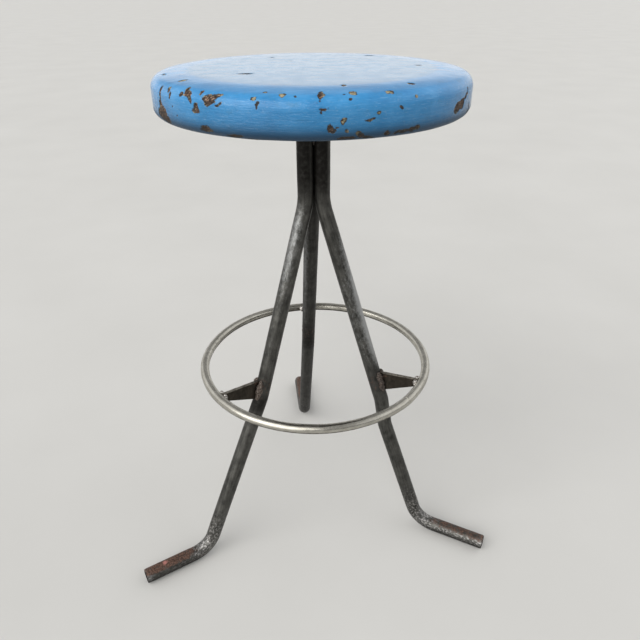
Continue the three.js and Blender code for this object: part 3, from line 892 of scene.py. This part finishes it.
def leg_fields(leg, points, length, around, bore, axis_height, total, heel_at):
    """Where this leg is worn bright, rusty, heat tinted and sooty, and where highlights and shade are
    painted on it.
    """
    height = points[:, 2]
    foot = smooth_step(length, heel_at - 6, heel_at + 24)
    heel = bump_at(length, heel_at, 16)
    upper = smooth_step(height - axis_height, 3, 8)
    bracket = bump_at(height, BRACKET_HEIGHT, 16)
    # Bright patches: worn scale, set on the side where highlights fall, so they also paint those
    # highlights.
    bright = sum(share * bump_at(height, level, half) for level, half, share in leg["patches"])
    azimuth = leg["azimuth"] - np.degrees(around)
    facing = bump_at(degrees_past(azimuth, leg["worn_and_lit_side"]), 0, leg["worn_and_lit_width"] / 1.5)
    bright = bright * (0.25 + 0.75 * facing)
    bright = bright * (1 - foot) + 0.4 * heel + 0.6 * bump_at(length, total, 5)
    # The band of flecks along each foot's ridge is worn metal and a painted highlight.
    ridge = foot * bump_at(height - axis_height, 2, 3.5)
    flecks = smooth_step(length, heel_at - 75, heel_at - 8) * smooth_step(height - axis_height, -8, 2)
    flecks = flecks * (1 - smooth_step(length, heel_at + 12, heel_at + 40))
    flecks = np.maximum(flecks, leg["shine"] * ridge) + 0.5 * foot * bump_at(length, total, 6)
    rust = foot * upper * leg["rust"] * (1 - 0.5 * heel)
    rust = rust + 0.35 * bracket + 0.12 * bump_at(height, BRACKET_HEIGHT + 50, 40)
    heat = leg["heat"] * bump_at(height, BRACKET_HEIGHT - 28, 13)
    soot = 0.9 * (1 - leg["heat"]) * bump_at(height, BRACKET_HEIGHT - 22, 9) + 0.35 * bracket
    # Painted shade: the tubes darken under the seat, except a stripe left lighter for the reflection
    # there; the leg's own darkening number is added on.
    stripe = bump_at(degrees_past(azimuth, UNDER_SEAT_STRIPE), 0, 14)
    soot = soot + smooth_step(height, 478, 525) * (1 - 0.75 * stripe) + leg["grime_and_shade"]
    # Painted shade on the lower half of each foot, the half that faces the floor.
    soot = np.minimum(soot, 1.0) * (1 - foot) + 0.9 * foot * smooth_step(axis_height - height, -4, 4)
    mark_reach = np.sqrt(np.maximum(0, TUBE_RADIUS ** 2 - (height - axis_height) ** 2))
    mark = 1 - smooth_step(np.hypot(length - total + leg["mark"], mark_reach), 2.4, 4.0)
    mark = mark * (height > axis_height) * (leg["mark"] > 0)
    radius = np.where(bore, TUBE_RADIUS - TUBE_WALL, TUBE_RADIUS)
    spot = np.column_stack([radius * np.cos(around) + leg["azimuth"], radius * np.sin(around), length])
    return steel_fields(
        len(points), spot=spot, heat=heat * (1 - foot), bright=np.where(bore, 0, bright),
        rust=np.where(bore, 0.4, rust), flecks=np.where(bore, 0, np.minimum(flecks, 1)),
        mark=np.where(bore, 0, mark), soot=np.where(bore, 1.0, soot))



def build_leg(name, leg):
    """One tube as a closed skin, outside and bore."""
    radii = [BUNDLE_BEND_RADIUS, *[KINK_RADIUS] * len(leg["kinks"]), HEEL_RADIUS]
    centres, tangents = bent_path(leg_corners(leg), radii, 2.2)
    along = lengths_along(centres)
    heel_at = along[-1] - leg["foot"] + 3
    rings = leg_rings(leg, centres, tangents, heel_at)
    count, sides = rings.shape[:2]
    points = rings.reshape(-1, 3)
    rows = np.arange(len(points)).reshape(count, sides)
    faces = band_faces([*rows, rows[0]])
    length = np.repeat(np.concatenate([along, along[::-1]]), sides)
    axis_height = np.repeat(np.concatenate([centres[:, 2], centres[::-1, 2]]), sides)
    around = np.tile(round_angles(sides), count)
    bore = np.arange(len(points)) >= len(points) // 2
    fields = leg_fields(leg, points, length, around, bore, axis_height, along[-1], heel_at)
    make_piece(f"leg_{name}_tube", [f"leg_{name}"], LOOKS["leg"],
               turned(points, leg["azimuth"]), faces, fields, 50)


for leg_name, leg_sizes in LEGS.items():
    build_leg(leg_name, leg_sizes)

# ---- Footrest -----------------------------------------------------------


def ring_arc(start, end, step):
    """Stations along a level arc of the ring, azimuths in degrees."""
    count = max(2, round(math.radians(end - start) * RING_RADIUS / step))
    stations = []
    for azimuth in np.linspace(start, end, count + 1):
        outward = direction(azimuth)
        centre = outward * RING_RADIUS + np.array([0, 0, RING_HEIGHT])
        stations.append((azimuth, centre, outward, np.array([0, 0, 1.0])))
    return stations


def closed_bar(rings):
    """Points and faces of a bar with a flat end at each of its first and last rings."""
    count, sides = rings.shape[:2]
    rows = np.arange(count * sides).reshape(count, sides)
    faces = [tuple(rows[0][::-1]), tuple(rows[-1]), *band_faces(rows)]
    return rings.reshape(-1, 3), faces


def make_bar(name, node, stations, section, fields):
    rings = swept([station[1:] for station in stations], section)
    points, faces = closed_bar(rings[:, ::-1])
    make_piece(name, [node], LOOKS["ring"], points, faces, fields, 50)


def build_ring():
    """The footrest's bar, rolled by hand so that it isn't quite true."""
    sides, joint_width = 32, 3.6
    half_joint = math.degrees(joint_width / 2 / RING_RADIUS)
    stations = ring_arc(RING_JOINT_AZIMUTH - 360 + half_joint, RING_JOINT_AZIMUTH - half_joint, 1.5)
    wander, dents = Noise(41), Noise(42)

    def section(i):
        straight = math.radians(stations[i][0]) * RING_RADIUS
        unbent = raised_circle(RING_BAR_RADIUS, sides, straight)
        radius = RING_BAR_RADIUS - 0.10 + 0.04 * dents(unbent, (6, 6, 12))
        centre = 0.35 * wander(np.array([[straight, 0.0, 0.0], [straight, 50.0, 0.0]]), 60)
        end = min(i, len(stations) - 1 - i)
        radius = radius - (0.35 if end == 0 else 0.0)
        return circle(radius, sides) + (centre - 0.1) * np.array([1.0, 0.3]) * min(1.0, end / 12)

    azimuth = np.repeat([station[0] for station in stations], sides)
    around = np.tile(round_angles(sides)[::-1], len(stations))
    spot = np.column_stack([RING_BAR_RADIUS * np.cos(around), RING_BAR_RADIUS * np.sin(around),
                            np.radians(azimuth) * RING_RADIUS])

    def facing(centre, half):
        return bump_at(degrees_past(azimuth, centre), 0, half)

    joints = sum(facing(leg["azimuth"], 4.5) for leg in LEGS.values())
    fields = {
        "spot": spot, "heat": 0.8 * joints + 0.6 * facing(RING_JOINT_AZIMUTH, 3),
        # grime at the back and joints, and painted shade along the underside of the bar
        "grime_and_shade": (0.30 * facing(100, 45) + 0.45 * facing(165, 22) + 0.5 * joints
                  + 1.3 * smooth_step(-np.sin(around), -0.05, 0.55)),
        "scratch": 0.35 + 0.65 * facing(310, 14),
    }
    make_bar("footrest_bar", "footrest_ring", stations, section, fields)


def build_butt_weld():
    """A ground-down weld that closes the ring, standing very slightly proud of the bar."""
    sides, half_width = 32, 2.6
    half_angle = math.degrees(half_width / RING_RADIUS)
    stations = ring_arc(RING_JOINT_AZIMUTH - half_angle, RING_JOINT_AZIMUTH + half_angle, 0.4)
    lumps = Noise(45)

    def section(i):
        share = 2 * i / (len(stations) - 1) - 1
        unbent = raised_circle(RING_BAR_RADIUS, sides, share * half_width)
        swell = 0.30 * math.sqrt(max(0.0, 1 - share ** 2)) - 0.12
        radius = RING_BAR_RADIUS - 0.15 + swell * (1 + 0.5 * lumps(unbent, 2.2))
        return circle(radius - (0.6 if abs(share) == 1 else 0.0), sides)

    count = sides * len(stations)
    fields = {"heat": np.full(count, 0.35), "grime_and_shade": np.full(count, 0.35),
              "scratch": np.ones(count)}
    make_bar("ring_joint_weld", "ring_butt_weld", stations, section, fields)


build_ring()
build_butt_weld()

# ---- Brackets -----------------------------------------------------------


def build_gusset(name, seed):
    """A flat bracket, worn bright along its top edge, where a highlight is painted too, and sooty
    where it meets its leg.
    """
    points, normals, faces = cad_copy(f"gusset_{name}", 0.55, 4, 0.10, seed)
    radius = np.hypot(points[:, 0], points[:, 1])
    inner, outer = radius.min(), radius.max()
    top_edge = smooth_step(normals[:, 2], 0.45, 0.8)
    at_leg = 1 - smooth_step(radius, inner, inner + 14)
    at_ring = smooth_step(radius, outer - 7, outer)
    # The top edge is worn bright and painted with a highlight.
    fields = steel_fields(
        len(points), bright=0.8 * top_edge * (1 - 0.4 * at_leg), soot=0.45 * at_leg * (1 - top_edge),
        rust=0.22 + 0.35 * at_leg + 0.2 * at_ring - 0.2 * top_edge, heat=0.3 * at_ring)
    make_piece(f"bracket_{name}", [f"gusset_{name}"], LOOKS["gusset"],
               points, faces, fields, 35)


# ---- Welds --------------------------------------------------------------
# A bead follows the line of its CAD solid. It is a row of overlapping ripples, fuller in
# its middle, and it runs into both pieces that it joins.


def bead_line(node):
    """The two ends of a straight bead's middle line."""
    vertices = frame["nodes"][node].data.vertices
    points = np.array([(vertex.co - AXIS) / MM for vertex in vertices])
    spread = points - points.mean(axis=0)
    along = np.linalg.svd(spread, full_matrices=False)[2][0]
    reach = spread @ along
    middle = points.mean(axis=0) + along * (reach.max() + reach.min()) / 2
    half = along * (reach.max() - reach.min()) / 2
    return middle - half, middle + half


def make_bead(name, node, path, radius, look, seed, ripple=2.3, overrun=1.5, squash=0.75,
              lumpy=0.22):
    """A weld bead along a path of points. squash flattens it along its own up direction."""
    path = np.asarray(path, float)
    tangents = np.gradient(path, axis=0)
    tangents /= np.linalg.norm(tangents, axis=1)[:, None]
    path[0] -= tangents[0] * overrun
    path[-1] += tangents[-1] * overrun
    along = lengths_along(path)
    total = along[-1]
    lumps, waver = Noise(seed), Noise(seed + 100)
    sides = 28
    steps = np.linspace(0, total, max(12, round(total / 0.35)))
    centres = np.column_stack([np.interp(steps, along, path[:, k]) for k in range(3)])
    ways = np.column_stack([np.interp(steps, along, tangents[:, k]) for k in range(3)])
    ways /= np.linalg.norm(ways, axis=1)[:, None]
    outward = centres[0] * np.array([1, 1, 0])
    first_side = outward - ways[0] * (outward @ ways[0])
    stations = carried_frames(centres, ways, first_side)
    crests = []

    def section(i):
        share = 2 * steps[i] / total - 1
        dome = (1 - min(0.999, abs(share)) ** 3) ** 0.5
        place = np.array([[seed * 9.0, steps[i], 0.0]])
        phase = (steps[i] + 0.8 * waver(place, 4)[0]) / ripple
        crest = 1 - (phase % 1) ** 1.5
        unbent = raised_circle(radius, sides, steps[i])
        swell = 1 + lumpy * lumps(unbent, (3, 3, 3.2)) + 0.18 * (crest - 0.5)
        crests.append(np.full(sides, crest))
        return circle(radius * dome * swell, sides) * [1, squash]

    rings = swept(stations, section)
    points, faces = closed_bar(rings)
    make_piece(name, [node], look, points, faces, {"crest": np.concatenate(crests)})


def build_leg_welds(name, leg, seed):
    """Lumpy beads down both sides of a bracket where it meets its leg, spread over the tube."""
    for label in "ab":
        node = f"weld_leg_{name}_{label}"
        path = np.array(bead_line(node)) - 1.2 * direction(leg["azimuth"])
        make_bead(f"bead_leg_{name}_{label}", node, path, 4.4, LOOKS[leg["weld"]],
                  seed + ord(label), ripple=2.7, overrun=4.5, squash=0.85, lumpy=0.34)


def build_ring_welds(name, seed):
    """Small clean lumps where a bracket meets the ring."""
    for label in "ab":
        node = f"weld_ring_{name}_{label}"
        start, end = sorted(bead_line(node), key=lambda point: point[2])
        make_bead(f"bead_ring_{name}_{label}", node, [start, end + [0, 0, 0.8]], 3.1,
                  LOOKS["clean_weld"], seed + ord(label), ripple=2.0, overrun=0.8, squash=0.95)


def build_plate_weld(name, leg, seed):
    """A fillet round the outside of a tube, under the plate."""
    centre = direction(leg["azimuth"]) * BUNDLE_RADIUS + [0, 0, PLATE_BOTTOM - 1.0]
    path = [centre + direction(leg["azimuth"] + turn) * (TUBE_RADIUS + 0.9)
            for turn in np.linspace(-100, 100, 41)]
    make_bead(f"bead_plate_{name}", f"weld_plate_{name}", path, 3.0, LOOKS["sooty_weld"], seed,
              overrun=0)


for index, (leg_name, leg_sizes) in enumerate(LEGS.items()):
    build_gusset(leg_name, 51 + 2 * index)
    build_leg_welds(leg_name, leg_sizes, 200 + 20 * index)
    build_ring_welds(leg_name, 300 + 20 * index)
    build_plate_weld(leg_name, leg_sizes, 400 + 20 * index)
for index, valley in enumerate(("front", "right", "left")):
    seam = f"weld_seam_{valley}"
    make_bead(f"bead_seam_{valley}", seam, bead_line(seam), 2.6, LOOKS["sooty_weld"],
              500 + 20 * index)

# ---- Floor, lights and camera -------------------------------------------


def build_floor():
    mesh = bpy.data.meshes.new("floor")
    half, cells = 90.0, 8
    side = np.linspace(-half, half, cells + 1)
    points = [(x, y, 0.0) for y in side for x in side]
    rows = np.arange(len(points)).reshape(cells + 1, cells + 1)
    faces = [(rows[j, i], rows[j, i + 1], rows[j + 1, i + 1], rows[j + 1, i])
             for j in range(cells) for i in range(cells)]
    mesh.from_pydata(points, [], faces)
    mesh.materials.append(floor_look())
    floor = bpy.data.objects.new("floor", mesh)
    bpy.context.scene.collection.objects.link(floor)


def build_window_light():
    """One very wide soft light from the front left and above, the same all over the floor."""
    lamp = bpy.data.lights.new("window", "SUN")
    lamp.angle = math.radians(70)
    lamp.energy = 2.3
    lamp.color = (1.0, 0.985, 0.96)
    light = bpy.data.objects.new("window_light", lamp)
    towards_light = Vector((-1.3, -1.2, 1.05))
    light.location = AXIS + towards_light
    light.rotation_euler = (-towards_light).to_track_quat("-Z", "Y").to_euler()
    bpy.context.scene.collection.objects.link(light)


def build_world():
    """Soft room light: a pale wall at the back, tall windows on both sides, a dim room
    in front and overhead. The backdrop itself is plain and pale like the floor."""
    world = bpy.data.worlds.new("room")
    bpy.context.scene.world = world
    world.use_nodes = True
    world.node_tree.nodes.clear()
    room = Nodes(world.node_tree)
    sideways, depth, height = room.add(
        "SeparateXYZ", {0: room.add("TexCoord").outputs["Generated"]}).outputs
    walls = room.ramp(
        room.add("MapRange", {"Value": depth, "From Min": -1.0}).outputs["Result"],
        (0.0, (0.14, 0.14, 0.14)), *[(place, (level, level, level * 0.985)) for place, level
                                     in ((0.28, 0.18), (0.50, 0.36), (0.68, 0.72))],
        (1.0, (0.88, 0.875, 0.86)))
    overhead = room.step(room.math("ABSOLUTE", sideways), 0.30, 0.75, 0.34, 0.95)
    light = room.mix(room.step(height, 0.15, 0.26), walls, overhead)
    seen = room.mix(room.add("LightPath").outputs["Is Camera Ray"], light, (0.52, 0.515, 0.50))
    background = room.add("Background", {"Color": seen, "Strength": 1.3})
    room.add("OutputWorld", {"Surface": background.outputs[0]})


def build_camera():
    """Standing height, close in, looking down at the stool from in front."""
    azimuth, distance, height = -96.22, 0.7085, 0.7259
    heading, pitch, roll = 83.20, -29.70, -0.35
    data = bpy.data.cameras.new("camera")
    data.sensor_width = 36
    data.lens = 33.595
    data.clip_start = 0.02
    camera = bpy.data.objects.new("camera", data)
    place = AXIS + Vector(direction(azimuth)) * distance + Vector((0, 0, height))
    camera.matrix_world = Matrix.Translation(place)
    for angle, axis in ((heading - 90, "Z"), (90 + pitch, "X"), (roll, "Z")):
        camera.matrix_world @= Matrix.Rotation(math.radians(angle), 4, axis)
    bpy.context.scene.collection.objects.link(camera)
    bpy.context.scene.camera = camera


build_floor()
build_world()
build_window_light()
build_camera()
bpy.context.scene.view_settings.view_transform = "Standard"
